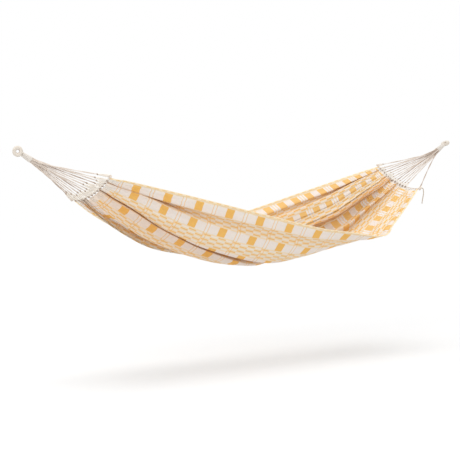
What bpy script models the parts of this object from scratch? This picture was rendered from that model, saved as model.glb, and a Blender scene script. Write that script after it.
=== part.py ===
"""A Brazilian-type hammock: a woven cloth bed hung from two rope eyes by fans of cotton cords.

X runs along the line between the two eyes, Z is up, and the origin is midway between the eyes. The bed swings
about that line. Near is -Y and left is -X. The higher corner of the bed is the near one at the left, and the far
one at the right.
"""

from math import pi, radians

import bmesh
import bpy
import numpy as np
from mathutils import Vector

# Driving dimensions, in metres
EYE_HALF_SPAN = 1.5
FAN_LENGTH = 0.455  # from an eye's centre to the header cord
SAG = 0.59  # the eyes' line to the bottom of the bed

EYE_RADIUS = 0.0165
EYE_ROPE_RADIUS = 0.0075
LEFT_EYE_TURN = radians(-20)  # each eye lies on its hook as it was bound
RIGHT_EYE_TILT = radians(29)

WHIPPING_START = 0.0265  # along the fan's axis, from the eye's centre
WHIPPING_LENGTH = 0.052
WHIPPING_RADII = (0.0105, 0.0145)

CORDS = 14
CORD_RADIUS = 0.00225
CORD_ROWS = 3
CORD_PITCH = 0.0052  # between cords where they leave the whipping
CORD_SPREAD = 0.06  # the stretch in which they turn out of the bundle
CORD_POINTS = 8
CORD_CROWDING = {"left": 0.93, "right": 0.72}  # the share of the header that takes all the cords but the last

HEADER_RADIUS = 0.004
HEADER_POINTS = 22
SELVAGE_RADIUS = 0.004
SELVAGE_INSET = 0.0135  # the corner knots' clearance
KNOT_RADIUS = 0.009
TAIL_RADIUS = 0.002
TAIL_POINTS = 16

CLOTH_THICKNESS = 0.004
BED_CELLS = (46, 18)  # along and across
GAP = 0.0004  # between pieces that touch

# Offsets (Y, Z) of points on a header from its eye. The right header's are turned half round about Z
HIGH_CORNER = (-0.125, -0.122)
HEADER_MIDDLE = (0.0, -0.213)
LEFT_LOW_CORNER = (0.084, -0.228)
RIGHT_LOW_CORNER = (0.112, -0.237)

# The long edges of the bed between its corners: each slopes down to a tip in its low half, then turns up
NEAR_EDGE = (
    (-0.910, -0.120, -0.152),
    (-0.524, -0.132, -0.233),
    (-0.140, -0.161, -0.320),
    (0.245, -0.190, -0.404),
    (0.440, -0.210, -0.433),
    (0.690, -0.243, -0.464),
    (0.802, -0.216, -0.410),
    (0.960, -0.162, -0.337),
)
FAR_EDGE = (
    (-0.960, 0.140, -0.300),
    (-0.787, 0.195, -0.366),
    (-0.637, 0.212, -0.416),
    (-0.440, 0.206, -0.418),
    (-0.245, 0.190, -0.400),
    (0.140, 0.161, -0.320),
    (0.524, 0.132, -0.233),
    (0.910, 0.120, -0.152),
)
KEEL_FLATNESS = 1.75  # 2 is a parabola

# The near right corner's loose tail, from the knot's centre
TAIL_ROUTE = (
    (0.0075, -0.0060, 0.0030),
    (0.0125, -0.0095, 0.0020),
    (0.0155, -0.0120, -0.0080),
    (0.0160, -0.0120, -0.0300),
    (0.0130, -0.0100, -0.0520),
    (0.0100, -0.0080, -0.0740),
)

CORD_COLOUR = (0.83, 0.78, 0.70)
WHIPPING_COLOUR = (0.78, 0.74, 0.67)
CLOTH_COLOUR = (0.90, 0.76, 0.52)
SELVAGE_COLOUR = (0.72, 0.62, 0.47)

HALF_TURN = np.array((-1.0, -1.0, 1.0))
LEFT_EYE = np.array((-EYE_HALF_SPAN, 0.0, 0.0))
CLOTH_REACH = FAN_LENGTH + HEADER_RADIUS + GAP  # from an eye's centre to the cloth's end


def clear_scene():
    for obj in list(bpy.data.objects):
        bpy.data.objects.remove(obj, do_unlink=True)


def new_material(name, colour, roughness):
    material = bpy.data.materials.new(name)
    material.use_nodes = True
    shader = material.node_tree.nodes["Principled BSDF"]
    shader.inputs["Base Color"].default_value = (*colour, 1.0)
    shader.inputs["Roughness"].default_value = roughness
    shader.inputs["Metallic"].default_value = 0.0
    return material


def add_object(name, data, material, parent):
    obj = bpy.data.objects.new(name, data)
    parts.objects.link(obj)
    data.materials.append(material)
    obj.parent = parent
    return obj


def add_empty(name):
    empty = bpy.data.objects.new(name, None)
    parts.objects.link(empty)
    return empty


def smooth_curve(points, count):
    """Evenly spaced points on a smooth curve through the given ones."""
    ends = np.vstack((2 * points[0] - points[1], points, 2 * points[-1] - points[-2]))
    t = np.linspace(0, 1, 24, endpoint=False)[:, None]
    stretches = []
    for a, b, c, d in zip(ends, ends[1:], ends[2:], ends[3:]):
        bend = (2 * a - 5 * b + 4 * c - d) * t**2 + (3 * b - a - 3 * c + d) * t**3
        stretches.append(0.5 * (2 * b + (c - a) * t + bend))
    fine = np.vstack((*stretches, points[-1]))
    run = np.append(0, np.cumsum(np.linalg.norm(np.diff(fine, axis=0), axis=1)))
    at = np.linspace(0, run[-1], count)
    return np.stack([np.interp(at, run, fine[:, axis]) for axis in range(3)], axis=1)


def from_left_eye(offset, reach):
    """The point at this distance from the left eye whose Y and Z scale with the offset at the header."""
    y, z = offset
    along = (FAN_LENGTH**2 - y**2 - z**2) ** 0.5
    return LEFT_EYE + np.array((along, y, z)) * reach / FAN_LENGTH


def bed_curves(count):
    """The near edge, keel and far edge of the bed, from left to right, each as evenly spaced points."""
    high = from_left_eye(HIGH_CORNER, CLOTH_REACH)
    left_low = from_left_eye(LEFT_LOW_CORNER, CLOTH_REACH)
    right_low = from_left_eye(RIGHT_LOW_CORNER, CLOTH_REACH) * HALF_TURN
    near = smooth_curve(np.vstack((high, NEAR_EDGE, right_low)), count)
    far = smooth_curve(np.vstack((left_low, FAR_EDGE, high * HALF_TURN)), count)
    end = from_left_eye(HEADER_MIDDLE, CLOTH_REACH)
    x = np.linspace(end[0], -end[0], count)
    z = -SAG + (end[2] + SAG) * np.abs(x / end[0]) ** KEEL_FLATNESS
    keel = np.stack((x, end[1] * x / end[0], z), axis=1)
    return near, keel, far


def section(near, keel, far, u):
    """A point across the bed: u runs from 0 at the near edge, over the keel, to 1 at the far edge."""
    control = 2 * keel - (near + far) / 2
    return (1 - u) ** 2 * near + 2 * u * (1 - u) * control + u**2 * far


def add_tube(name, points, radius, material, parent):
    curve = bpy.data.curves.new(name, "CURVE")
    curve.dimensions = "3D"
    curve.bevel_depth = radius
    curve.bevel_resolution = 2
    curve.use_fill_caps = True
    spline = curve.splines.new("POLY")
    spline.points.add(len(points) - 1)
    for point, place in zip(spline.points, points):
        point.co = (*place, 1.0)
    return add_object(name, curve, material, parent)


def add_eye(name, centre, rotation, material, parent):
    bpy.ops.mesh.primitive_torus_add(
        major_radius=EYE_RADIUS, minor_radius=EYE_ROPE_RADIUS, major_segments=28, minor_segments=12
    )
    made = bpy.context.object
    mesh = made.data
    bpy.data.objects.remove(made)
    mesh.name = name
    mesh.shade_smooth()
    eye = add_object(name, mesh, material, parent)
    eye.location = centre
    eye.rotation_euler = rotation
    return eye


def add_whipping(name, eye, axis, material, parent):
    """The binding that gathers a fan's cords just inside the eye."""
    mesh = bpy.data.meshes.new(name)
    shape = bmesh.new()
    bmesh.ops.create_cone(
        shape,
        cap_ends=True,
        segments=20,
        radius1=WHIPPING_RADII[0],
        radius2=WHIPPING_RADII[1],
        depth=WHIPPING_LENGTH,
    )
    shape.to_mesh(mesh)
    shape.free()
    mesh.shade_smooth()
    mesh.set_sharp_from_angle(angle=radians(40))
    whipping = add_object(name, mesh, material, parent)
    whipping.location = eye + axis * (WHIPPING_START + WHIPPING_LENGTH / 2)
    whipping.rotation_euler = Vector(axis).to_track_quat("Z", "Y").to_euler()
    return whipping


def add_knot(name, centre, material, parent):
    mesh = bpy.data.meshes.new(name)
    shape = bmesh.new()
    bmesh.ops.create_uvsphere(shape, u_segments=12, v_segments=8, radius=KNOT_RADIUS)
    shape.to_mesh(mesh)
    shape.free()
    mesh.shade_smooth()
    knot = add_object(name, mesh, material, parent)
    knot.location = centre
    return knot


def unit(vector):
    return vector / np.linalg.norm(vector)


def at_reach(place, reach):
    """The place moved along its fan to this distance from the nearer eye, since the cords are equally long."""
    eye = LEFT_EYE if place[0] < 0 else -LEFT_EYE
    return eye + unit(place - eye) * reach


def header_points(near, keel, far, count):
    """The header cord's centre line at one end of the bed, from its near corner to its far one."""
    return np.array([at_reach(section(near, keel, far, u), FAN_LENGTH) for u in np.linspace(0, 1, count)])


def cord_share(number, crowding):
    """How far along the header a cord is tied, from 0 at the high corner to 1 at the low corner."""
    last = CORDS - 1
    return 1.0 if number == last else crowding * number / (last - 1)


def add_fan(label, side, ends, materials, bed):
    """One end's whipping, header, corner knots and cords. Side is 1 at the left and -1 at the right."""
    eye = LEFT_EYE * side
    header = header_points(*ends, HEADER_POINTS)
    if side < 0:
        header = header[::-1]  # from the high corner to the low one, as at the left
    axis = unit(ends[1] - eye)
    add_whipping(f"{label}_whipping", eye, axis, materials["whipping"], bed)
    add_tube(f"{label}_header_cord", header, HEADER_RADIUS, materials["cord"], bed)

    knots = []
    for end, next_in in ((header[0], header[1]), (header[-1], header[-2])):
        knots.append(end + unit(end - next_in) * (KNOT_RADIUS + GAP))
    for corner, centre in zip(("high", "low"), knots):
        add_knot(f"{label}_{corner}_corner_knot", centre, materials["cord"], bed)

    across = unit(header[-1] - header[0])
    across = unit(across - axis * (across @ axis))
    over = np.cross(axis, across)
    run = np.append(0, np.cumsum(np.linalg.norm(np.diff(header, axis=0), axis=1)))
    mouth = eye + axis * (WHIPPING_START + WHIPPING_LENGTH + GAP)
    columns = (CORDS - 1) // CORD_ROWS
    for number in range(CORDS):
        column, row = divmod(number, CORD_ROWS)
        if column % 2:
            row = CORD_ROWS - 1 - row
        start = mouth + across * CORD_PITCH * (column - columns / 2) + over * CORD_PITCH * (row - 1)
        at = cord_share(number, CORD_CROWDING[label]) * run[-1]
        end = np.array([np.interp(at, run, header[:, k]) for k in range(3)])
        short = HEADER_RADIUS
        if number in (0, CORDS - 1):
            end = knots[number > 0]
            short = KNOT_RADIUS
        turn = start + axis * CORD_SPREAD
        end = end - unit(end - turn) * (short + GAP)
        t = np.linspace(0, 1, CORD_POINTS)[:, None]
        route = (1 - t) ** 2 * start + 2 * t * (1 - t) * turn + t**2 * end
        add_tube(f"{label}_cord_{number + 1:02d}", route, CORD_RADIUS, materials["cord"], bed)
    return knots


def add_bed_cloth(near, keel, far, material, parent):
    """The cloth as one curved shell, inside the selvage cords and between the headers."""
    mesh = bpy.data.meshes.new("bed_cloth")
    shape = bmesh.new()
    bmesh.ops.create_grid(shape, x_segments=BED_CELLS[0], y_segments=BED_CELLS[1], size=1.0)
    for vert in shape.verts:
        station = round((vert.co.x + 1) / 2 * BED_CELLS[0])
        n, k, f = near[station], keel[station], far[station]
        slope = 2 * np.linalg.norm(2 * k - (n + f) / 2 - n), 2 * np.linalg.norm(2 * k - (n + f) / 2 - f)
        low, high = ((SELVAGE_RADIUS + GAP) / s for s in slope)
        place = section(n, k, f, low + (vert.co.y + 1) / 2 * (1 - low - high))
        if station in (0, BED_CELLS[0]):
            place = at_reach(place, CLOTH_REACH)
        vert.co = place
    shape.to_mesh(mesh)
    shape.free()
    mesh.shade_smooth()
    cloth = add_object("bed_cloth", mesh, material, parent)
    thicken = cloth.modifiers.new("thickness", "SOLIDIFY")
    thicken.thickness = CLOTH_THICKNESS
    thicken.offset = 0.0
    return cloth


def add_selvages(near, far, material, parent):
    """The bound long edges of the cloth, which stop short of the corner knots."""
    for name, edge in (("near_selvage_cord", near), ("far_selvage_cord", far)):
        step = np.linalg.norm(edge[1] - edge[0])
        trimmed = edge.copy()
        trimmed[0] += (edge[1] - edge[0]) * SELVAGE_INSET / step
        trimmed[-1] += (edge[-2] - edge[-1]) * SELVAGE_INSET / step
        add_tube(name, trimmed, SELVAGE_RADIUS, material, parent)


clear_scene()
parts = bpy.data.collections.new("rope_hammock")
bpy.context.scene.collection.children.link(parts)
materials = {
    "cord": new_material("twisted_cotton", CORD_COLOUR, 0.9),
    "whipping": new_material("bound_cotton", WHIPPING_COLOUR, 0.9),
    "cloth": new_material("woven_cotton", CLOTH_COLOUR, 0.9),
    "selvage": new_material("selvage_cotton", SELVAGE_COLOUR, 0.9),
}
eyes = add_empty("eyes")
bed = add_empty("swing_axis")

add_eye("left_eye", LEFT_EYE, (pi / 2, 0, LEFT_EYE_TURN), materials["cord"], eyes)
add_eye("right_eye", -LEFT_EYE, (0, -RIGHT_EYE_TILT, 0), materials["cord"], eyes)

near, keel, far = bed_curves(BED_CELLS[0] + 1)
add_bed_cloth(near, keel, far, materials["cloth"], bed)
add_selvages(near, far, materials["selvage"], bed)
add_fan("left", 1, (near[0], keel[0], far[0]), materials, bed)
right_knots = add_fan("right", -1, (near[-1], keel[-1], far[-1]), materials, bed)
tail = smooth_curve(right_knots[1] + np.array(TAIL_ROUTE), TAIL_POINTS)
add_tube("corner_tail", tail, TAIL_RADIUS, materials["cord"], bed)
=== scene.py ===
from math import cos, pi, radians, sin

import bmesh
import bpy
import numpy as np
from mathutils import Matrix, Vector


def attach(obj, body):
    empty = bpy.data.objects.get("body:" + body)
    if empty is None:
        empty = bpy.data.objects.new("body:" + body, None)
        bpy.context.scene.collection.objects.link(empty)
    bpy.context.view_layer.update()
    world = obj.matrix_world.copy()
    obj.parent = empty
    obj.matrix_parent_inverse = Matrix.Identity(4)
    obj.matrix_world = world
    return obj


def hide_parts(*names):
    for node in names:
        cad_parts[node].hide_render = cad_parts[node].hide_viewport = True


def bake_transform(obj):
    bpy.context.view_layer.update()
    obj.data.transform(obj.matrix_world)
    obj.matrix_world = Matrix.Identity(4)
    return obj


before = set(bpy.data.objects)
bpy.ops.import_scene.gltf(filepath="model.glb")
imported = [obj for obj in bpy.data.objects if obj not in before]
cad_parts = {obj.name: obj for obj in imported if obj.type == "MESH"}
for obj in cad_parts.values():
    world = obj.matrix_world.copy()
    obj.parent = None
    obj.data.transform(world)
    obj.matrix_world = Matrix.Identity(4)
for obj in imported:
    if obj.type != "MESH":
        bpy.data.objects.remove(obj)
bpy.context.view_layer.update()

# The hammock's layout, in metres, as it was set out for the solid model
EYE_HALF_SPAN = 1.5
FAN_LENGTH = 0.455
SAG = 0.59
EYE_RADIUS = 0.0165
LEFT_EYE_TURN = radians(-20)
RIGHT_EYE_TILT = radians(29)
WHIPPING_START = 0.0265
WHIPPING_LENGTH = 0.052
WHIPPING_RADII = (0.0105, 0.0145)
CORDS = 14
CORD_RADIUS = 0.00225
CORD_ROWS = 3
CORD_PITCH = 0.0052
CORD_SPREAD = 0.06
CORD_CROWDING = {"left": 0.93, "right": 0.72}
HEADER_RADIUS = 0.004
KNOT_RADIUS = 0.009
GAP = 0.0004
HIGH_CORNER = (-0.125, -0.122)
HEADER_MIDDLE = (0.0, -0.213)
LEFT_LOW_CORNER = (0.084, -0.228)
RIGHT_LOW_CORNER = (0.112, -0.237)
NEAR_EDGE = (
    (-0.910, -0.120, -0.152),
    (-0.524, -0.132, -0.233),
    (-0.140, -0.161, -0.320),
    (0.245, -0.190, -0.404),
    (0.440, -0.210, -0.433),
    (0.690, -0.243, -0.464),
    (0.802, -0.216, -0.410),
    (0.960, -0.162, -0.337),
)
FAR_EDGE = (
    (-0.960, 0.140, -0.300),
    (-0.787, 0.195, -0.366),
    (-0.637, 0.212, -0.416),
    (-0.440, 0.206, -0.418),
    (-0.245, 0.190, -0.400),
    (0.140, 0.161, -0.320),
    (0.524, 0.132, -0.233),
    (0.910, 0.120, -0.152),
)
KEEL_FLATNESS = 1.75
TAIL_ROUTE = (
    (0.0075, -0.0060, 0.0030),
    (0.0125, -0.0095, 0.0020),
    (0.0155, -0.0120, -0.0080),
    (0.0160, -0.0120, -0.0300),
    (0.0130, -0.0100, -0.0520),
    (0.0100, -0.0080, -0.0740),
)
HALF_TURN = np.array((-1.0, -1.0, 1.0))
LEFT_EYE = np.array((-EYE_HALF_SPAN, 0.0, 0.0))
CLOTH_REACH = FAN_LENGTH + HEADER_RADIUS + GAP

# The cloth as it was cut and woven
CLOTH_LENGTH = 2.30
CLOTH_WIDTH = 0.994
FRINGE = 0.040  # the unwoven ends of the warp at the left
SHORT_FRINGE = 0.016  # and at the right
CHECK = 0.197  # lengthwise repeat of the weave
CHECK_START = 0.178  # the first coloured square, from the left end
BAND_STEP = 0.115
BAND_INSET = 0.037  # the first band's middle, from the selvage
BAND_HALF = 0.0225
FLOAT_START = 0.0325  # the first row of floats, from a band's middle
FLOAT_STEP = 0.0125
FLOAT_HALF = 0.0029
PICK_PLACE = 0.010  # two thin lines, one each side of a plain check's middle
PICK_HALF = 0.0026
HEM_BAND = 0.0115
HEM_LINE_STEP = 0.005
HEM_LINE_HALF = 0.0011
WARP_PITCH = 0.0018
WEFT_PITCH = 0.0022
CLOTH_THICKNESS = 0.0013
HEM_INSET = 0.0035
HEM_HALF_WIDTH = 0.0048
HEM_HALF_THICKNESS = 0.0022
LIGHT_THROUGH = 0.22  # the share of light that the cloth lets through
CLOTH_CELLS = (146, 308)  # 22 cells across for each bunch of the fringe
FRINGE_CELLS = 8

# Ropes and threads: the radius of a strand, how far it lies from the middle, and the length of one turn
HEADER_STRANDS = (0.0016, 0.0014, 0.016)
CORD_STRANDS = (0.00155, 0.0016, 0.21)
TAIL_STRANDS = (0.0016, 0.0013, 0.012)
KNOT_SIZE = 0.0068
KNOT_STRAND = 0.0030
HITCH_STRAND = 0.0014
TIE_STRAND = 0.0013
TIE_RING = 0.0030
WARP_STRAND = 0.0019
WARP_SPREAD = 0.0085
LOOP_REACH = {"left": 0.052, "right": 0.022}
BUNDLE_INSET = 0.0016
COIL_INSET = 0.0012
COIL_STRAND = 0.0013
COIL_TURNS = 21
COIL_STEPS = 20
EYE_CORE_RADIUS = 0.0072
EYE_WRAP_REACH = 0.0074
EYE_WRAP_STRAND = 0.0011
EYE_WRAPS = 46
LINING_SHARE = 0.53  # the lining's ring, as a share of the eye's
LINING_STRAND = 0.0016
THROAT_START = 0.0145
THROAT_OVERLAP = 0.004
THROAT_STRAND = 0.0052
THROAT_SPREAD = (0.0072, 0.0030)  # at the eye and at the whipping

# The camera
CAMERA_PLACE = (-6.385, -6.201, 0.161)
CAMERA_YAW = radians(44.98)
CAMERA_PITCH = radians(3.69)
CAMERA_LENS = 140.3
FLOOR = -1.07
SKY = 1.0  # the overhead light, against an even white room of 1


# ---------- curves ----------


def unit(v):
    return v / np.linalg.norm(v, axis=-1, keepdims=True)


def resampled(points, count):
    run = np.append(0, np.cumsum(np.linalg.norm(np.diff(points, axis=0), axis=1)))
    at = np.linspace(0, run[-1], count)
    return np.stack([np.interp(at, run, points[:, axis]) for axis in range(3)], axis=1)


def length_of(points):
    return float(np.linalg.norm(np.diff(points, axis=0), axis=1).sum())


def smooth_curve(points, count):
    """Evenly spaced points on a smooth curve through the given ones."""
    points = np.asarray(points)
    ends = np.vstack((2 * points[0] - points[1], points, 2 * points[-1] - points[-2]))
    t = np.linspace(0, 1, 24, endpoint=False)[:, None]
    stretches = []
    for a, b, c, d in zip(ends, ends[1:], ends[2:], ends[3:]):
        bend = (2 * a - 5 * b + 4 * c - d) * t**2 + (3 * b - a - 3 * c + d) * t**3
        stretches.append(0.5 * (2 * b + (c - a) * t + bend))
    return resampled(np.vstack((*stretches, points[-1])), count)


def from_left_eye(offset, reach):
    y, z = offset
    along = (FAN_LENGTH**2 - y**2 - z**2) ** 0.5
    return LEFT_EYE + np.array((along, y, z)) * reach / FAN_LENGTH


def bed_curves(count):
    """The near edge, keel and far edge of the bed, from left to right."""
    high = from_left_eye(HIGH_CORNER, CLOTH_REACH)
    left_low = from_left_eye(LEFT_LOW_CORNER, CLOTH_REACH)
    right_low = from_left_eye(RIGHT_LOW_CORNER, CLOTH_REACH) * HALF_TURN
    near = smooth_curve(np.vstack((high, NEAR_EDGE, right_low)), count)
    far = smooth_curve(np.vstack((left_low, FAR_EDGE, high * HALF_TURN)), count)
    end = from_left_eye(HEADER_MIDDLE, CLOTH_REACH)
    x = np.linspace(end[0], -end[0], count)
    z = -SAG + (end[2] + SAG) * np.abs(x / end[0]) ** KEEL_FLATNESS
    keel = np.stack((x, end[1] * x / end[0], z), axis=1)
    return near, resampled(keel, count), far


def section(near, keel, far, u):
    control = 2 * keel - (near + far) / 2
    return (1 - u) ** 2 * near + 2 * u * (1 - u) * control + u**2 * far


def at_reach(place, reach):
    eye = LEFT_EYE if place[0] < 0 else -LEFT_EYE
    return eye + unit(place - eye) * reach


def header_points(near, keel, far, count):
    return np.array([at_reach(section(near, keel, far, u), FAN_LENGTH) for u in np.linspace(0, 1, count)])


def cord_share(number, crowding):
    last = CORDS - 1
    return 1.0 if number == last else crowding * number / (last - 1)


def turned_frames(points):
    """Two directions across a path at each point, carried along it without twist."""
    tangent = unit(np.gradient(points, axis=0))
    start = np.cross(tangent[0], (0.0, 0.0, 1.0))
    if np.linalg.norm(start) < 0.1:
        start = np.cross(tangent[0], (0.0, 1.0, 0.0))
    across = [unit(start)]
    for t in tangent[1:]:
        across.append(unit(across[-1] - t * (across[-1] @ t)))
    across = np.array(across)
    return across, np.cross(tangent, across)


def laid(path, strands, offset, pitch, steps=10, turn=0.0):
    """The paths of strands twisted together along a path."""
    length = length_of(path)
    count = max(8, int(length / pitch * steps) + 1)
    path = resampled(path, count)
    a, b = turned_frames(path)
    run = np.linspace(0, length, count)
    out = []
    for k in range(strands):
        angle = (2 * pi * (run / pitch + k / strands) + turn)[:, None]
        out.append(path + offset * (np.cos(angle) * a + np.sin(angle) * b))
    return out


# ---------- pieces ----------


def in_scene(name, mesh, *materials):
    obj = bpy.data.objects.new(name, mesh)
    bpy.context.scene.collection.objects.link(obj)
    for material in materials:
        mesh.materials.append(material)
    mesh.shade_smooth()
    return obj


def tubes(name, paths, radius, material, resolution=1, widths=None, closed=False):
    """Round tubes along several paths, as one mesh. Widths scale the radius along each path."""
    curve = bpy.data.curves.new(name, "CURVE")
    curve.dimensions = "3D"
    curve.bevel_depth = radius
    curve.bevel_resolution = resolution
    curve.use_fill_caps = True
    for path in paths:
        spline = curve.splines.new("POLY")
        spline.points.add(len(path) - 1)
        co = np.c_[path, np.ones(len(path))]
        spline.points.foreach_set("co", co.ravel())
        if widths is not None:
            spline.points.foreach_set("radius", widths)
        spline.use_cyclic_u = closed
    maker = bpy.data.objects.new(name, curve)
    mesh = bpy.data.meshes.new_from_object(maker)
    bpy.data.objects.remove(maker)
    bpy.data.curves.remove(curve)
    mesh.name = name
    mesh.materials.clear()
    return in_scene(name, mesh, material)


def formed_grid(name, points, flat, *materials, tube=False, slits=None, painted_fold_shade=None):
    """A grid laid onto points of shape (along, across, 3).

    Its flat place in metres is its UV map, and the painted shade it gets deep in a fold is an attribute.
    """
    cells = points.shape[0] - 1, points.shape[1] - 1
    shape = bmesh.new()
    bmesh.ops.create_grid(shape, x_segments=cells[0], y_segments=cells[1], size=1.0)
    layer = shape.loops.layers.uv.new("flat")
    depth = shape.verts.layers.float.new("painted_fold_shade")
    for face in shape.faces:
        for loop in face.loops:
            i = round((loop.vert.co.x + 1) / 2 * cells[0])
            j = round((loop.vert.co.y + 1) / 2 * cells[1])
            loop[layer].uv = flat[i, j]
    if slits is not None:
        cut = []
        for face in shape.faces:
            middle = face.calc_center_median()
            i = int((middle.x + 1) / 2 * cells[0])
            j = int((middle.y + 1) / 2 * cells[1])
            if slits[i, j]:
                cut.append(face)
        bmesh.ops.delete(shape, geom=cut, context="FACES")
    for vert in shape.verts:
        i = round((vert.co.x + 1) / 2 * cells[0])
        j = round((vert.co.y + 1) / 2 * cells[1])
        vert.co = points[i, j]
        vert[depth] = 0.0 if painted_fold_shade is None else painted_fold_shade[i, j]
    if tube:
        bmesh.ops.remove_doubles(shape, verts=shape.verts, dist=1e-6)
        bmesh.ops.holes_fill(shape, edges=[e for e in shape.edges if e.is_boundary], sides=0)
        bmesh.ops.recalc_face_normals(shape, faces=shape.faces)
    mesh = bpy.data.meshes.new(name)
    shape.to_mesh(mesh)
    shape.free()
    return in_scene(name, mesh, *materials)


def fitted(obj, slot, *nodes, body="bed"):
    """The piece takes its body, and the solids it stands for are hidden."""
    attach(obj, body)
    if nodes:
        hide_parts(*nodes)
    return obj


# ---------- materials ----------


class Finish:
    """A material whose nodes are added one at a time."""

    def __init__(self, name):
        self.material = bpy.data.materials.new(name)
        self.material.use_nodes = True
        self.tree = self.material.node_tree
        self.shader = self.tree.nodes["Principled BSDF"]
        self.shader.inputs["Roughness"].default_value = 0.9
        self.shader.inputs["Specular IOR Level"].default_value = 0.25

    def node(self, kind, **settings):
        node = self.tree.nodes.new(kind)
        for name, value in settings.items():
            setattr(node, name, value)
        return node

    def plug(self, value, socket):
        if isinstance(value, bpy.types.NodeSocket):
            self.tree.links.new(value, socket)
        else:
            socket.default_value = value

    def math(self, operation, *values, clamp=False):
        node = self.node("ShaderNodeMath", operation=operation, use_clamp=clamp)
        for value, socket in zip(values, node.inputs):
            self.plug(value, socket)
        return node.outputs[0]

    def flat(self):
        """The place on the uncut cloth or along the piece: along and across, in metres."""
        split = self.node("ShaderNodeSeparateXYZ")
        self.plug(self.node("ShaderNodeUVMap", uv_map="flat").outputs["UV"], split.inputs[0])
        return split.outputs[0], split.outputs[1]

    def noise(self, scale, detail=3.0, stretch=None, coordinates="object"):
        node = self.node("ShaderNodeTexNoise")
        node.inputs["Scale"].default_value = scale
        node.inputs["Detail"].default_value = detail
        if coordinates == "object":
            source = self.node("ShaderNodeTexCoord").outputs["Object"]
        else:
            source = self.node("ShaderNodeUVMap", uv_map="flat").outputs["UV"]
        if stretch is not None:
            mapping = self.node("ShaderNodeMapping")
            mapping.inputs["Scale"].default_value = stretch
            self.plug(source, mapping.inputs["Vector"])
            source = mapping.outputs[0]
        self.plug(source, node.inputs["Vector"])
        return node.outputs["Fac"]

    def within(self, distance, half, soft=0.0012):
        """1 where the distance is under half, with a soft edge."""
        return self.math("DIVIDE", self.math("SUBTRACT", half + soft / 2, distance), soft, clamp=True)

    def off_middle(self, value, step, middle=0.0):
        """How far the value is from the nearest of a row of places a step apart."""
        share = self.math("ADD", self.math("DIVIDE", self.math("SUBTRACT", value, middle), step), 0.5)
        off = self.math("ABSOLUTE", self.math("SUBTRACT", self.math("FRACT", share), 0.5))
        return self.math("MULTIPLY", off, step)

    def mixed(self, amount, first, second, blend="MIX"):
        node = self.node("ShaderNodeMix", data_type="RGBA", blend_type=blend)
        self.plug(amount, node.inputs[0])
        for value, socket in ((first, node.inputs[6]), (second, node.inputs[7])):
            self.plug(value if isinstance(value, bpy.types.NodeSocket) else (*value, 1.0), socket)
        return node.outputs[2]

    def shaded(self, colour, height=None, depth=0.0005, strength=0.5):
        self.plug(colour, self.shader.inputs["Base Color"])
        if height is not None:
            bump = self.node("ShaderNodeBump")
            bump.inputs["Strength"].default_value = strength
            bump.inputs["Distance"].default_value = depth
            self.plug(height, bump.inputs["Height"])
            self.plug(bump.outputs[0], self.shader.inputs["Normal"])
        return self.material


WHITE_YARN = (0.93, 0.89, 0.85)
YELLOW_YARN = (0.94, 0.565, 0.155)
STRAW_YARN = (0.93, 0.60, 0.22)
GROUND = (0.94, 0.80, 0.58)
INNER_GROUND = (0.95, 0.80, 0.57)
FRINGE_YARN = (0.92, 0.87, 0.80)
# Painted shade: the warm dark colour that the cloth is tinted with deep in its folds
FOLD_SHADE_TINT = (0.82, 0.47, 0.19)


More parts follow.
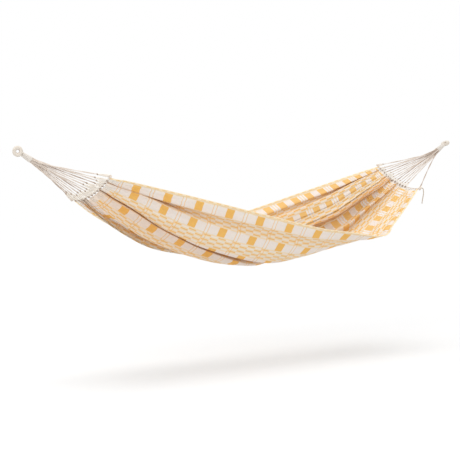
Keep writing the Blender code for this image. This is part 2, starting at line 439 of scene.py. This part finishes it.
def woven_finish(name, inner):
    f = Finish(name)
    x, y = f.flat()
    across = f.math("SUBTRACT", y, BAND_INSET)
    band = f.within(f.off_middle(y, BAND_STEP, BAND_INSET), BAND_HALF)
    square = f.within(f.off_middle(x, CHECK, CHECK_START), CHECK / 8)
    to_check = f.off_middle(x, CHECK, CHECK_START + CHECK / 2)
    check = f.within(to_check, CHECK / 8)
    pick = f.within(f.math("ABSOLUTE", f.math("SUBTRACT", to_check, PICK_PLACE)), PICK_HALF)
    picks = f.math("MULTIPLY", check, pick)
    # Rows of floats between the bands, laid like bricks
    down = f.math("MULTIPLY", f.math("FRACT", f.math("DIVIDE", across, BAND_STEP)), BAND_STEP)
    row = f.math("DIVIDE", f.math("SUBTRACT", down, FLOAT_START), FLOAT_STEP)
    number = f.math("ROUND", row)
    beside = f.math("MULTIPLY", f.math("ABSOLUTE", f.math("SUBTRACT", row, number)), FLOAT_STEP)
    brick = f.math("ADD", f.math("DIVIDE", x, CHECK / 2), f.math("MULTIPLY", number, 0.5))
    brick = f.math("ABSOLUTE", f.math("SUBTRACT", f.math("FRACT", brick), 0.5))
    brick = f.math("SUBTRACT", brick, 0.25)
    long_float = f.math("ADD", f.math("DIVIDE", brick, 0.02), 0.5, clamp=True)
    line = f.within(beside, FLOAT_HALF)
    coloured, pale = long_float, f.math("SUBTRACT", 1.0, long_float)
    if inner:
        coloured, pale = pale, coloured
    ground, float_yarn = (INNER_GROUND, YELLOW_YARN) if inner else (GROUND, STRAW_YARN)
    between = f.mixed(f.math("MULTIPLY", line, pale), ground, WHITE_YARN)
    between = f.mixed(f.math("MULTIPLY", line, coloured), between, float_yarn)
    between = f.mixed(f.math("MULTIPLY", picks, 0.75), between, STRAW_YARN)
    band_ground, band_square = (STRAW_YARN, WHITE_YARN) if inner else (WHITE_YARN, YELLOW_YARN)
    in_band = f.mixed(square, band_ground, band_square)
    if inner:
        in_band = f.mixed(check, in_band, WHITE_YARN)
    in_band = f.mixed(f.math("MULTIPLY", picks, 0.7), in_band, STRAW_YARN)
    colour = f.mixed(band, between, in_band)
    # The selvage's two thin lines
    edge = f.math("MINIMUM", y, f.math("SUBTRACT", CLOTH_WIDTH, y))
    hem = f.within(edge, HEM_BAND)
    hem_line = f.within(f.off_middle(edge, HEM_LINE_STEP, HEM_LINE_STEP / 2), HEM_LINE_HALF)
    colour = f.mixed(hem, colour, f.mixed(hem_line, GROUND, YELLOW_YARN))
    # The unwoven ends
    from_right = f.math("SUBTRACT", CLOTH_LENGTH + FRINGE - SHORT_FRINGE, x)
    fringe = f.within(f.math("MINIMUM", x, from_right), FRINGE, 0.004)
    colour = f.mixed(fringe, colour, FRINGE_YARN)
    # Uneven yarn
    slub = f.noise(1.0, 2.0, (60.0, 700.0, 1.0), "flat")
    weft = f.noise(1.0, 2.0, (700.0, 60.0, 1.0), "flat")
    streak = f.math("ADD", f.math("MULTIPLY", slub, 0.16), f.math("MULTIPLY", weft, 0.12))
    tone = f.math("ADD", streak, 0.84)
    tint = f.node("ShaderNodeCombineColor")
    for socket in tint.inputs[:3]:
        f.plug(tone, socket)
    colour = f.mixed(1.0, colour, tint.outputs[0], "MULTIPLY")
    # Painted shade: the cloth is tinted warm and dark deep in the folds, in place of the shade and the warm
    # light bounced about among the creases
    painted_fold_shade = f.node("ShaderNodeAttribute", attribute_name="painted_fold_shade").outputs["Fac"]
    colour = f.mixed(painted_fold_shade, colour, f.mixed(1.0, colour, FOLD_SHADE_TINT, "MULTIPLY"))
    # Threads over and under
    warp = f.math("SINE", f.math("MULTIPLY", y, 2 * pi / WARP_PITCH))
    pick_wave = f.math("SINE", f.math("MULTIPLY", x, 2 * pi / WEFT_PITCH))
    weave = f.math("MULTIPLY", f.math("MULTIPLY", warp, pick_wave), f.math("SUBTRACT", 1.0, fringe))
    unwoven = f.math("MULTIPLY", f.math("ADD", warp, f.math("MULTIPLY", slub, 4.0)), fringe)
    threads = f.math("ADD", weave, unwoven)
    raised = f.math("MULTIPLY", f.math("MULTIPLY", line, 1.6), f.math("SUBTRACT", 1.0, band))
    height = f.math("ADD", threads, f.math("ADD", raised, f.math("MULTIPLY", slub, 1.5)))
    material = f.shaded(colour, height, 0.0005, 0.55)
    through = f.node("ShaderNodeBsdfTranslucent")
    f.plug(colour, through.inputs["Color"])
    both = f.node("ShaderNodeMixShader")
    both.inputs[0].default_value = LIGHT_THROUGH
    f.plug(f.shader.outputs[0], both.inputs[1])
    f.plug(through.outputs[0], both.inputs[2])
    f.plug(both.outputs[0], f.tree.nodes["Material Output"].inputs["Surface"])
    return material


FIBRE_SCALE = 1040.0
PATCH_SCALE = 32.5


def yarn_finish(name, colour, shade):
    """Twisted cotton: fibres along and round the strands, with a darker colour mixed in by fine and broad
    noise.
    """
    f = Finish(name)
    fibre = f.noise(FIBRE_SCALE, 4.0)
    patch = f.noise(PATCH_SCALE, 3.0)
    mottle = f.math("ADD", f.math("MULTIPLY", fibre, 0.6), f.math("MULTIPLY", patch, 0.4))
    mixed = f.mixed(mottle, shade, colour)
    return f.shaded(mixed, fibre, 0.0006, 0.5)


def hem_finish():
    f = Finish("woven_selvage")
    x, y = f.flat()
    dash = f.within(f.off_middle(x, CHECK / 4, 0.0), CHECK / 14, 0.003)
    stripe = f.within(f.off_middle(y, 0.5, 0.25), 0.07, 0.05)
    yarn = f.noise(1.0, 2.0, (90.0, 9.0, 1.0), "flat")
    colour = f.mixed(f.math("MULTIPLY", dash, stripe), GROUND, STRAW_YARN)
    colour = f.mixed(f.math("MULTIPLY", yarn, 0.35), colour, (0.80, 0.66, 0.45))
    wave = f.math("SINE", f.math("MULTIPLY", x, 2 * pi / 0.0024))
    return f.shaded(colour, f.math("ADD", wave, yarn), 0.0006, 0.6)


cord_yarn = yarn_finish("twisted_cotton_cord", (0.83, 0.76, 0.69), (0.58, 0.48, 0.40))
# A darker copy of the cord's cotton for every fifth cord: painted shade, for cords that lie in shadow
shaded_yarn = yarn_finish("darker_cotton_cord", (0.66, 0.56, 0.48), (0.40, 0.30, 0.24))
# Dark cotton for the eyes' linings and the hitches and ties at the headers: painted shade, for the shadow
# in the eye's hole and among the knots
dark_shade_yarn = yarn_finish("painted_shade_cotton", (0.55, 0.45, 0.37), (0.30, 0.22, 0.17))
warp_yarn = yarn_finish("loose_warp_cotton", (0.93, 0.89, 0.82), (0.78, 0.71, 0.62))
eye_yarn = yarn_finish("eye_binding_cotton", (0.82, 0.77, 0.70), (0.62, 0.56, 0.49))
binding_yarn = yarn_finish("whipping_cotton", (0.80, 0.76, 0.71), (0.58, 0.53, 0.47))
tail_yarn = yarn_finish("worn_cotton", (0.66, 0.58, 0.48), (0.46, 0.38, 0.30))
inner_cloth = woven_finish("woven_check_inside", True)
outer_cloth = woven_finish("woven_check_outside", False)
hem_cloth = hem_finish()

# ---------- camera, light and floor ----------

camera_data = bpy.data.cameras.new("camera")
camera_data.lens = CAMERA_LENS
camera_data.sensor_width = 36
camera_data.clip_end = 100
camera = bpy.data.objects.new("camera", camera_data)
camera.location = CAMERA_PLACE
camera.rotation_euler = (pi / 2 - CAMERA_PITCH, 0, -CAMERA_YAW)
bpy.context.scene.collection.objects.link(camera)
bpy.context.scene.camera = camera
bpy.context.scene.view_settings.view_transform = "Standard"

world = bpy.data.worlds.new("studio")
world.use_nodes = True
world.node_tree.nodes["Background"].inputs["Color"].default_value = (1.0, 1.0, 1.0, 1.0)
world.node_tree.nodes["Background"].inputs["Strength"].default_value = 1.0
bpy.context.scene.world = world


def add_light(name, place, size, power, target=(0.0, 0.0, -0.35)):
    light = bpy.data.lights.new(name, "AREA")
    light.shape = "RECTANGLE"
    light.size, light.size_y = size
    light.energy = power
    obj = bpy.data.objects.new(name, light)
    obj.location = place
    aim = Vector(target) - Vector(place)
    obj.rotation_euler = aim.to_track_quat("-Z", "Y").to_euler()
    bpy.context.scene.collection.objects.link(obj)


sky = bpy.data.lights.new("overhead_diffuser", "SUN")
sky.angle = radians(44)
sky.energy = SKY
sky_object = bpy.data.objects.new("overhead_diffuser", sky)
sky_object.rotation_euler = (radians(-4), radians(3), 0)
bpy.context.scene.collection.objects.link(sky_object)
add_light("front_softbox", (-4.0, -2.2, 2.2), (2.4, 1.8), 44)

floor_shape = bmesh.new()
bmesh.ops.create_grid(floor_shape, x_segments=1, y_segments=1, size=40)
floor_mesh = bpy.data.meshes.new("studio_floor")
floor_shape.to_mesh(floor_mesh)
floor_shape.free()
floor_finish = Finish("pale_floor")
pale = 1 / (1 + SKY / pi)  # comes out white where both the room and the overhead light reach it
floor_finish.shader.inputs["Base Color"].default_value = (pale, pale, pale, 1.0)
floor_finish.shader.inputs["Specular IOR Level"].default_value = 0.0
floor = in_scene("studio_floor", floor_mesh, floor_finish.material)
floor.location.z = FLOOR

# ---------- the woven bed ----------

FINE = 600
near_line, keel_line, far_line = bed_curves(FINE)


def at_share(line, share):
    at = share * (len(line) - 1)
    return np.stack([np.interp(at, np.arange(len(line)), line[:, k]) for k in range(3)], axis=-1)


def smooth_step(low, high, value):
    """0 up to low and 1 from high. It falls instead where low is the larger."""
    t = np.clip((value - low) / (high - low), 0, 1)
    return t * t * (3 - 2 * t)


# The pleats of the hanging cloth. Each one is given at these shares of the length, from left to right:
# its middle and its half width on the flat cloth, in metres, and how steep it is, in radians. A steep one
# hides its cloth, and a negative one is pushed outwards. A free pleat grows steeper or flatter until the
# cloth fits its arc.
STATIONS = (0, 0.08, 0.2, 0.35, 0.5, 0.7, 0.88, 1)
PLEATS = (
    # middle, half width, steepness, free
    (
        (0.094,) * 8,
        (0.04,) * 8,
        (2.1, 2.0, 1.4, 0.8, 0.5, 0.3, 0.1, -0.4),
        False,
    ),
    (
        (0.282, 0.286, 0.298, 0.312, 0.316, 0.30, 0.28, 0.27),
        (0.062, 0.066, 0.062, 0.057, 0.055, 0.055, 0.055, 0.055),
        (2.3, 2.35, 2.3, 2.1, 1.5, 1.5, 1.9, 2.1),
        False,
    ),
    (
        (0.56, 0.56, 0.56, 0.54, 0.50, 0.47, 0.45, 0.44),
        (0.04, 0.04, 0.04, 0.045, 0.05, 0.055, 0.058, 0.058),
        (2.3, 2.2, 2.0, 1.9, 1.8, 1.9, 2.2, 2.3),
        True,
    ),
    (
        (0.655, 0.655, 0.655, 0.64, 0.615, 0.605, 0.605, 0.605),
        (0.045, 0.045, 0.045, 0.048, 0.05, 0.05, 0.05, 0.05),
        (-2.4, -2.3, -2.1, -2.0, -2.0, -2.1, -2.3, -2.4),
        True,
    ),
    (
        (0.78, 0.78, 0.78, 0.775, 0.77, 0.765, 0.765, 0.765),
        (0.06,) * 8,
        (-2.4, -2.2, -2.0, -1.9, -1.9, -2.1, -2.3, -2.4),
        True,
    ),
    (
        (0.915, 0.915, 0.915, 0.916, 0.918, 0.92, 0.922, 0.922),
        (0.035,) * 8,
        (-2.0, -1.6, -1.2, -0.9, -0.8, -1.2, -1.9, -2.2),
        False,
    ),
)
STEEPEST = 2.5
FIRMEST = 1.6
WRINKLE = 0.034  # from one fine wrinkle to the next


def along_bed(values, share):
    """A pleat's value at this share of the length, on a smooth curve through the stations."""
    k = min(int(np.searchsorted(STATIONS, share, side="right")), len(STATIONS) - 1)
    slope = np.gradient(np.array(values), np.array(STATIONS))
    reach = STATIONS[k] - STATIONS[k - 1]
    t = (share - STATIONS[k - 1]) / reach
    start = values[k - 1] + reach * slope[k - 1] * t * (1 - t) ** 2
    rise = (values[k] - values[k - 1]) * t * t * (3 - 2 * t)
    return start + rise - reach * slope[k] * t * t * (1 - t)


def slopes(share, cloth, firmer):
    """The cloth's slope into the bed at each place across it, and how much painted shade that place gets
    deep in a pleat.
    """
    angle = np.zeros_like(cloth)
    shade = np.zeros_like(cloth)
    for middles, halves, steeps, free in PLEATS:
        middle, half, steep = (along_bed(v, share) for v in (middles, halves, steeps))
        if free:
            steep = np.clip(steep * firmer, -STEEPEST, STEEPEST)
        inside = np.abs(cloth - middle) < half
        angle = angle - inside * steep * np.sin(pi * (cloth - middle) / half)
        near_middle = np.exp(-(((cloth - middle) / half / 1.15) ** 2))
        shade = shade + (0.4 if free else 1.0) * abs(steep) * near_middle
    from_end = CLOTH_LENGTH * min(share, 1 - share)
    crumpled = 0.12 + 0.55 * (1 - smooth_step(0.0, 0.75, from_end))
    phase = 2 * pi * cloth / WRINKLE + 0.8 * np.sin(2.1 * share + 17 * cloth) + 2.1 * np.sin(43 * cloth)
    return angle + crumpled * np.sin(phase) * (0.75 + 0.25 * np.sin(31 * cloth)), shade


def fitting_firmness(share, cloth, width):
    """The factor on the free pleats' steepness with which the cloth spans the width."""
    step = cloth[1] - cloth[0]
    low, high = 0.0, FIRMEST
    for _ in range(14):
        firmer = (low + high) / 2
        if np.cos(slopes(share, cloth, firmer)[0]).sum() * step > width:
            low = firmer
        else:
            high = firmer
    return firmer


def cross_section(share, cloth):
    """The points across the bed at this share of its length, and how much painted shade each one gets deep
    in a fold.
    """
    t = np.linspace(0, 1, 240)[:, None]
    ahead = min(1.0, share + 0.004)
    behind = max(0.0, share - 0.004)
    lines = near_line, keel_line, far_line
    arc = section(*(at_share(line, share) for line in lines), t)
    along = section(*(at_share(line, ahead) for line in lines), t)
    along = along - section(*(at_share(line, behind) for line in lines), t)
    run = np.append(0, np.cumsum(np.linalg.norm(np.diff(arc, axis=0), axis=1)))
    width = run[-1]
    step = cloth[1] - cloth[0]
    angle, shade = slopes(share, cloth, fitting_firmness(share, cloth, width))
    place = np.append(0, np.cumsum(np.cos((angle[1:] + angle[:-1]) / 2)))
    place = np.maximum.accumulate(place / place[-1] * width + np.linspace(-0.002, 0.002, len(place)))
    place = (place - place[0]) / (place[-1] - place[0]) * width
    rise = np.append(0, np.cumsum(np.sin((angle[1:] + angle[:-1]) / 2))) * step
    rise = rise - rise[-1] * cloth / CLOTH_WIDTH
    # The pleats pushed outwards stand on the arc, and the cloth between them lies inside it
    lifted = smooth_step(0.44, 0.52, cloth) * smooth_step(CLOTH_WIDTH, 0.93, cloth)
    rise = rise - lifted * np.clip(rise[cloth > 0.5].min(), -0.04, 0)
    edge = np.minimum(cloth, CLOTH_WIDTH - cloth)
    from_end = CLOTH_LENGTH * min(share, 1 - share)
    at_end = 1 - smooth_step(0.0, 0.30, from_end)
    rise = (rise - 0.8 * rise.mean() * at_end * smooth_step(0.0, 0.05, edge)) * (1 - 0.7 * at_end)
    points = np.stack([np.interp(place, run, arc[:, k]) for k in range(3)], axis=1)
    inward = unit(np.cross(along, np.gradient(arc, axis=0)) + 1e-12)
    inward = np.stack([np.interp(place, run, inward[:, k]) for k in range(3)], axis=1)
    # Painted shade at two places: under the bed at its left, and in the hollow at its right
    under = smooth_step(0.30, 0.36, cloth) * smooth_step(0.60, 0.52, cloth)
    under = under * (1 - smooth_step(0.3, 0.5, share))
    hollow = smooth_step(0.46, 0.50, cloth) * smooth_step(0.57, 0.53, cloth)
    hollow = hollow * smooth_step(0.62, 0.75, share)
    turned_in = smooth_step(0.7, 2.2, np.abs(angle))
    shade = 0.17 * shade + 0.20 * under + 0.5 * hollow + 0.34 * turned_in
    depth = np.minimum(shade, 1.0) * smooth_step(0.0, 0.05, edge)
    return points + inward * rise[:, None], depth


def bed_points():
    """The bed's points, the painted shade they get deep in the folds, their flat places, and the cells cut
    by slits.
    """
    along = np.r_[
        np.linspace(0, FRINGE, FRINGE_CELLS + 1)[:-1],
        np.linspace(FRINGE, CLOTH_LENGTH - FRINGE, CLOTH_CELLS[0] - 2 * FRINGE_CELLS + 1),
        np.linspace(CLOTH_LENGTH - FRINGE, CLOTH_LENGTH, FRINGE_CELLS + 1)[1:],
    ]
    across = np.linspace(0, CLOTH_WIDTH, CLOTH_CELLS[1] + 1)
    rows = [cross_section(x / CLOTH_LENGTH, across) for x in along]
    points = np.array([row[0] for row in rows])
    painted_fold_shade = np.array([row[1] for row in rows])
    # The warp ends are drawn together into one bunch for each cord
    bunch = np.minimum(across / CLOTH_WIDTH * CORDS, CORDS - 1e-6)
    number = np.floor(bunch).astype(int)
    for side in (0, -1):
        eye = LEFT_EYE if side == 0 else -LEFT_EYE
        end_row = points[side].copy()
        middles = np.array([end_row[number == k].mean(axis=0) for k in range(CORDS)])
        gathered = middles[number] + (end_row - middles[number]) * 0.55
        gathered[0], gathered[-1] = end_row[0], end_row[-1]
        out = unit(gathered - eye)
        for row in range(FRINGE_CELLS + 8):
            i = row if side == 0 else len(along) - 1 - row
            far_in = along[row]
            loose = smooth_step(0.0, 0.09, far_in)
            reached = eye + out * (CLOTH_REACH + far_in)
            points[i] = points[i] * loose + reached * (1 - loose)
    flat = np.stack(np.broadcast_arrays(along[:, None], across[None, :]), axis=-1)
    slits = np.zeros(CLOTH_CELLS, bool)
    per_bunch = CLOTH_CELLS[1] // CORDS
    for k in range(1, CORDS):
        slits[:3, k * per_bunch] = True
        slits[-2:, k * per_bunch] = True
    return points, painted_fold_shade, flat, slits


bed, painted_fold_shade, flat_places, slits = bed_points()
cloth = formed_grid("woven_bed", bed, flat_places, inner_cloth, outer_cloth, slits=slits, painted_fold_shade=painted_fold_shade)
thicken = cloth.modifiers.new("thickness", "SOLIDIFY")
thicken.thickness = CLOTH_THICKNESS
thicken.offset = 0.0
thicken.material_offset = 1
thicken.material_offset_rim = 1
fitted(cloth, "cloth", "bed_cloth")


def add_hem(name, row, inward_row, node):
    """A narrow rolled hem along one edge."""
    ring = np.linspace(0, 2 * pi, 13)
    path = resampled(row, 200)
    inner = resampled(inward_row, 200)
    tangent = unit(np.gradient(path, axis=0))
    inward = inner - path
    inward = unit(inward - tangent * (inward * tangent).sum(axis=1, keepdims=True))
    over = np.cross(tangent, inward)
    rim = path[:, None] + inward[:, None] * (HEM_INSET + HEM_HALF_WIDTH * np.cos(ring))[None, :, None]
    rim = rim + over[:, None] * (HEM_HALF_THICKNESS * np.sin(ring))[None, :, None]
    run = np.linspace(0, length_of(path), len(path))
    flat = np.stack(np.broadcast_arrays(run[:, None], ring[None, :] / (2 * pi)), axis=-1)
    hem = formed_grid(name, rim, flat, hem_cloth, tube=True)
    return fitted(hem, "selvage", node)


near_hem = add_hem("near_hem", bed[:, 0], bed[:, 3], "near_selvage_cord")
far_hem = add_hem("far_hem", bed[:, -1], bed[:, -4], "far_selvage_cord")

# ---------- cords, headers, knots ----------


def overhand(centre, size, tilt):
    """A closed overhand knot."""
    t = np.linspace(0, 2 * pi, 49)[:-1]
    x = np.sin(t) + 2 * np.sin(2 * t)
    y = np.cos(t) - 2 * np.cos(2 * t)
    z = -np.sin(3 * t) * 1.1
    points = np.stack((x, y * np.cos(tilt) - z * np.sin(tilt), y * np.sin(tilt) + z * np.cos(tilt)), axis=1)
    return centre + points * size / 3


def ring_round(centre, axis, radius, turns, rise, steps=14):
    """A coil of a few turns round an axis."""
    count = int(turns * steps) + 1
    t = np.linspace(-0.5, 0.5, count)
    a = unit(np.cross(axis, (0.3, 0.2, 1.0)))
    b = np.cross(axis, a)
    angle = (2 * pi * turns * t)[:, None]
    return centre + radius * (np.cos(angle) * a + np.sin(angle) * b) + axis * (t * rise)[:, None]


def on_line(line, run, at):
    return np.array([np.interp(at, run, line[:, k]) for k in range(3)])


def add_fan(label, side, share):
    """The header, its two knots and the cords of one end, with the loops and ties on them."""
    eye = LEFT_EYE * side
    ends = [at_share(line, share) for line in (near_line, keel_line, far_line)]
    header = header_points(*ends, 22)
    if side < 0:
        header = header[::-1]
    axis = unit(ends[1] - eye)
    knots = []
    for end, next_in in ((header[0], header[1]), (header[-1], header[-2])):
        knots.append(end + unit(end - next_in) * (KNOT_RADIUS + GAP))
    radius, offset, lay = HEADER_STRANDS
    strands = laid(np.vstack((knots[0], header, knots[1])), 2, offset, lay)
    rope = tubes(f"{label}_header_rope", strands, radius, cord_yarn)
    fitted(rope, "cord", f"{label}_header_cord")
    for corner, centre, tilt in zip(("high", "low"), knots, (0.6, 1.9)):
        path = overhand(centre, KNOT_SIZE, tilt)
        knot = tubes(f"{label}_{corner}_knot", [path], KNOT_STRAND, cord_yarn, 3, closed=True)
        fitted(knot, "cord", f"{label}_{corner}_corner_knot")

    across = unit(header[-1] - header[0])
    across = unit(across - axis * (across @ axis))
    over = np.cross(axis, across)
    run = np.append(0, np.cumsum(np.linalg.norm(np.diff(header, axis=0), axis=1)))
    mouth = eye + axis * (WHIPPING_START + WHIPPING_LENGTH + GAP)
    columns = (CORDS - 1) // CORD_ROWS
    hitches, ties, loops, roots = [], [], [], []
    for number in range(CORDS):
        column, row = divmod(number, CORD_ROWS)
        if column % 2:
            row = CORD_ROWS - 1 - row
        start = mouth + across * CORD_PITCH * (column - columns / 2) + over * CORD_PITCH * (row - 1)
        at = cord_share(number, CORD_CROWDING[label]) * run[-1]
        if number in (0, CORDS - 1):
            end = knots[number > 0]
            short = KNOT_RADIUS
        else:
            end = on_line(header, run, at)
            ahead = on_line(header, run, at + 0.004)
            short = HEADER_RADIUS
            along = unit(ahead - end + 1e-9)
            hitches.append(ring_round(end + along * 0.001, along, HEADER_RADIUS + 0.0006, 1.9, 0.0062))
        turn = start + axis * CORD_SPREAD
        stop = end - unit(end - turn) * (short + GAP)
        t = np.linspace(0, 1, 40)[:, None]
        route = (1 - t) ** 2 * start + 2 * t * (1 - t) * turn + t**2 * stop
        name = f"{label}_twisted_cord_{number + 1:02d}"
        radius, offset, lay = CORD_STRANDS
        strands = laid(route, 2, offset, lay, 60, number * 1.3)
        # Every fifth cord takes the darker copy: painted shade
        cord = tubes(name, strands, radius, shaded_yarn if number % 5 == 3 else cord_yarn, 2)
        fitted(cord, "cord", f"{label}_cord_{number + 1:02d}")
        roots.append(np.array([start - axis * 0.012, start + axis * 0.001]))
        # Loops of warp reach up the cord from the header, and the cord is tied through them
        reach = LOOP_REACH[label] * (1 + 0.3 * sin(1.7 * number)) * (1 + 0.2 * sin(5.3 * number))
        back = unit(stop - turn)
        side_on = unit(np.cross(back, over)) * WARP_SPREAD
        apex = stop - back * reach
        ties.append(ring_round(apex, back, TIE_RING, 2.6, 0.006))
        for lean, lift in ((-1.0, 0.0), (-0.35, 0.0035), (0.35, -0.0035), (1.0, 0.0)):
            foot = stop + back * 0.006 + side_on * lean
            knee = stop - back * reach * 0.45 + side_on * lean * 0.8 + over * lift
            tip = apex - back * 0.004 + side_on * lean * 0.12
            loops.append(smooth_curve(np.array([foot, knee, apex + side_on * lean * 0.3, tip]), 12))
    # The hitches and ties take the dark cotton: painted shade among the knots at the header
    fitted(tubes(f"{label}_cord_hitches", hitches, HITCH_STRAND, dark_shade_yarn), "cord")
    fitted(tubes(f"{label}_loop_ties", ties, TIE_STRAND, dark_shade_yarn), "cord")
    fitted(tubes(f"{label}_warp_loops", loops, WARP_STRAND, warp_yarn), "cord")
    fitted(tubes(f"{label}_cord_roots", roots, CORD_RADIUS, cord_yarn), "cord")
    return eye, axis, knots


def add_whipping(label, eye, axis):
    """The binding that draws the cords together: thread wound over a tapered bundle."""
    a = eye + axis * WHIPPING_START
    b = a + axis * WHIPPING_LENGTH
    t = np.linspace(0, 1, 30)
    core_path = a + (b - a) * t[:, None]
    widths = WHIPPING_RADII[0] + (WHIPPING_RADII[1] - WHIPPING_RADII[0]) * t
    # The radius is 1 mm, so the widths are in millimetres
    widths = (widths - BUNDLE_INSET) * 1000
    core = tubes(f"{label}_bound_bundle", [core_path], 0.001, eye_yarn, 4, widths=widths)
    fitted(core, "whipping")
    t = np.linspace(0, 1, COIL_TURNS * COIL_STEPS + 1)[:, None]
    side_a = unit(np.cross(axis, (0.0, 0.0, 1.0)))
    side_b = np.cross(axis, side_a)
    radius = WHIPPING_RADII[0] + (WHIPPING_RADII[1] - WHIPPING_RADII[0]) * t - COIL_INSET
    angle = 2 * pi * COIL_TURNS * t
    coil = a + (b - a) * (0.02 + 0.96 * t) + radius * (np.cos(angle) * side_a + np.sin(angle) * side_b)
    binding = tubes(f"{label}_whipping_thread", [coil], COIL_STRAND, binding_yarn)
    fitted(binding, "whipping", f"{label}_whipping")


def add_eye(label, eye, axis, rotation):
    """A ring of gathered cords wound all round with thread, and the three legs that leave it."""
    turned = np.array(
        Matrix.Rotation(rotation[2], 3, "Z")
        @ Matrix.Rotation(rotation[1], 3, "Y")
        @ Matrix.Rotation(rotation[0], 3, "X")
    )
    t = np.linspace(0, 2 * pi, 73)[:-1]
    ring = np.stack((np.cos(t), np.sin(t), 0 * t), axis=1) * EYE_RADIUS
    core = tubes(f"{label}_eye_core", [eye + ring @ turned.T], EYE_CORE_RADIUS, eye_yarn, 4, closed=True)
    fitted(core, "eye_rope", f"{label}_eye", body="eyes")
    t = np.linspace(0, 2 * pi, EYE_WRAPS * 14 + 1)[:-1]
    reach = EYE_RADIUS + EYE_WRAP_REACH * np.cos(EYE_WRAPS * t)
    rise = EYE_WRAP_REACH * np.sin(EYE_WRAPS * t)
    winding = np.stack((reach * np.cos(t), reach * np.sin(t), rise), axis=1)
    winding = eye + winding @ turned.T
    thread = tubes(f"{label}_eye_winding", [winding], EYE_WRAP_STRAND, eye_yarn, closed=True)
    fitted(thread, "eye_rope", body="eyes")
    # A dark ring inside the eye: painted shade, so that the hole looks shadowed
    lining = eye + ring @ turned.T * LINING_SHARE
    shade_lining = tubes(f"{label}_eye_painted_shade_lining", [lining], LINING_STRAND, dark_shade_yarn, 2, closed=True)
    fitted(shade_lining, "eye_rope", body="eyes")
    # The throat closes the ring onto the whipping
    normal = turned @ np.array((0.0, 0.0, 1.0))
    spread = unit(np.cross(axis, normal))
    start = eye + axis * THROAT_START
    end = eye + axis * (WHIPPING_START + THROAT_OVERLAP)
    t = np.linspace(0, 1, 8)[:, None]
    legs = []
    wide, narrow = THROAT_SPREAD
    for sign in (-1, 1):
        closing = spread * sign * (wide - narrow)
        legs.append(start + spread * sign * wide + (end - start - closing) * t)
    legs.append(start + (end - start) * t)
    neck = tubes(f"{label}_throat", legs, THROAT_STRAND, eye_yarn, 4)
    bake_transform(neck)


for label, side, share, rotation in (
    ("left", 1, 0.0, (pi / 2, 0, LEFT_EYE_TURN)),
    ("right", -1, 1.0, (0, -RIGHT_EYE_TILT, 0)),
):
    eye, axis, knots = add_fan(label, side, share)
    add_whipping(label, eye, axis)
    add_eye(label, eye, axis, rotation)

tail_path = smooth_curve(knots[1] + np.array(TAIL_ROUTE), 30)
radius, offset, lay = TAIL_STRANDS
tail = tubes("loose_tail", laid(tail_path, 2, offset, lay, 9), radius, tail_yarn)
fitted(tail, "cord", "corner_tail")
frays = []
down = unit(tail_path[-1] - tail_path[-3])
for k in range(9):
    out = np.array((cos(2.4 * k), sin(2.4 * k), 0.0)) * (0.0008 + 0.0004 * (k % 5))
    root = tail_path[-1] - down * 0.003 + out * 0.5
    bend = root + down * 0.005 + out
    tip = root + down * (0.008 + 0.0007 * (k % 4)) + out * 2.2
    frays.append(np.array([root, bend, tip]))
fray = tubes("tail_fray", frays, 0.0006, tail_yarn)
fitted(fray, "cord")
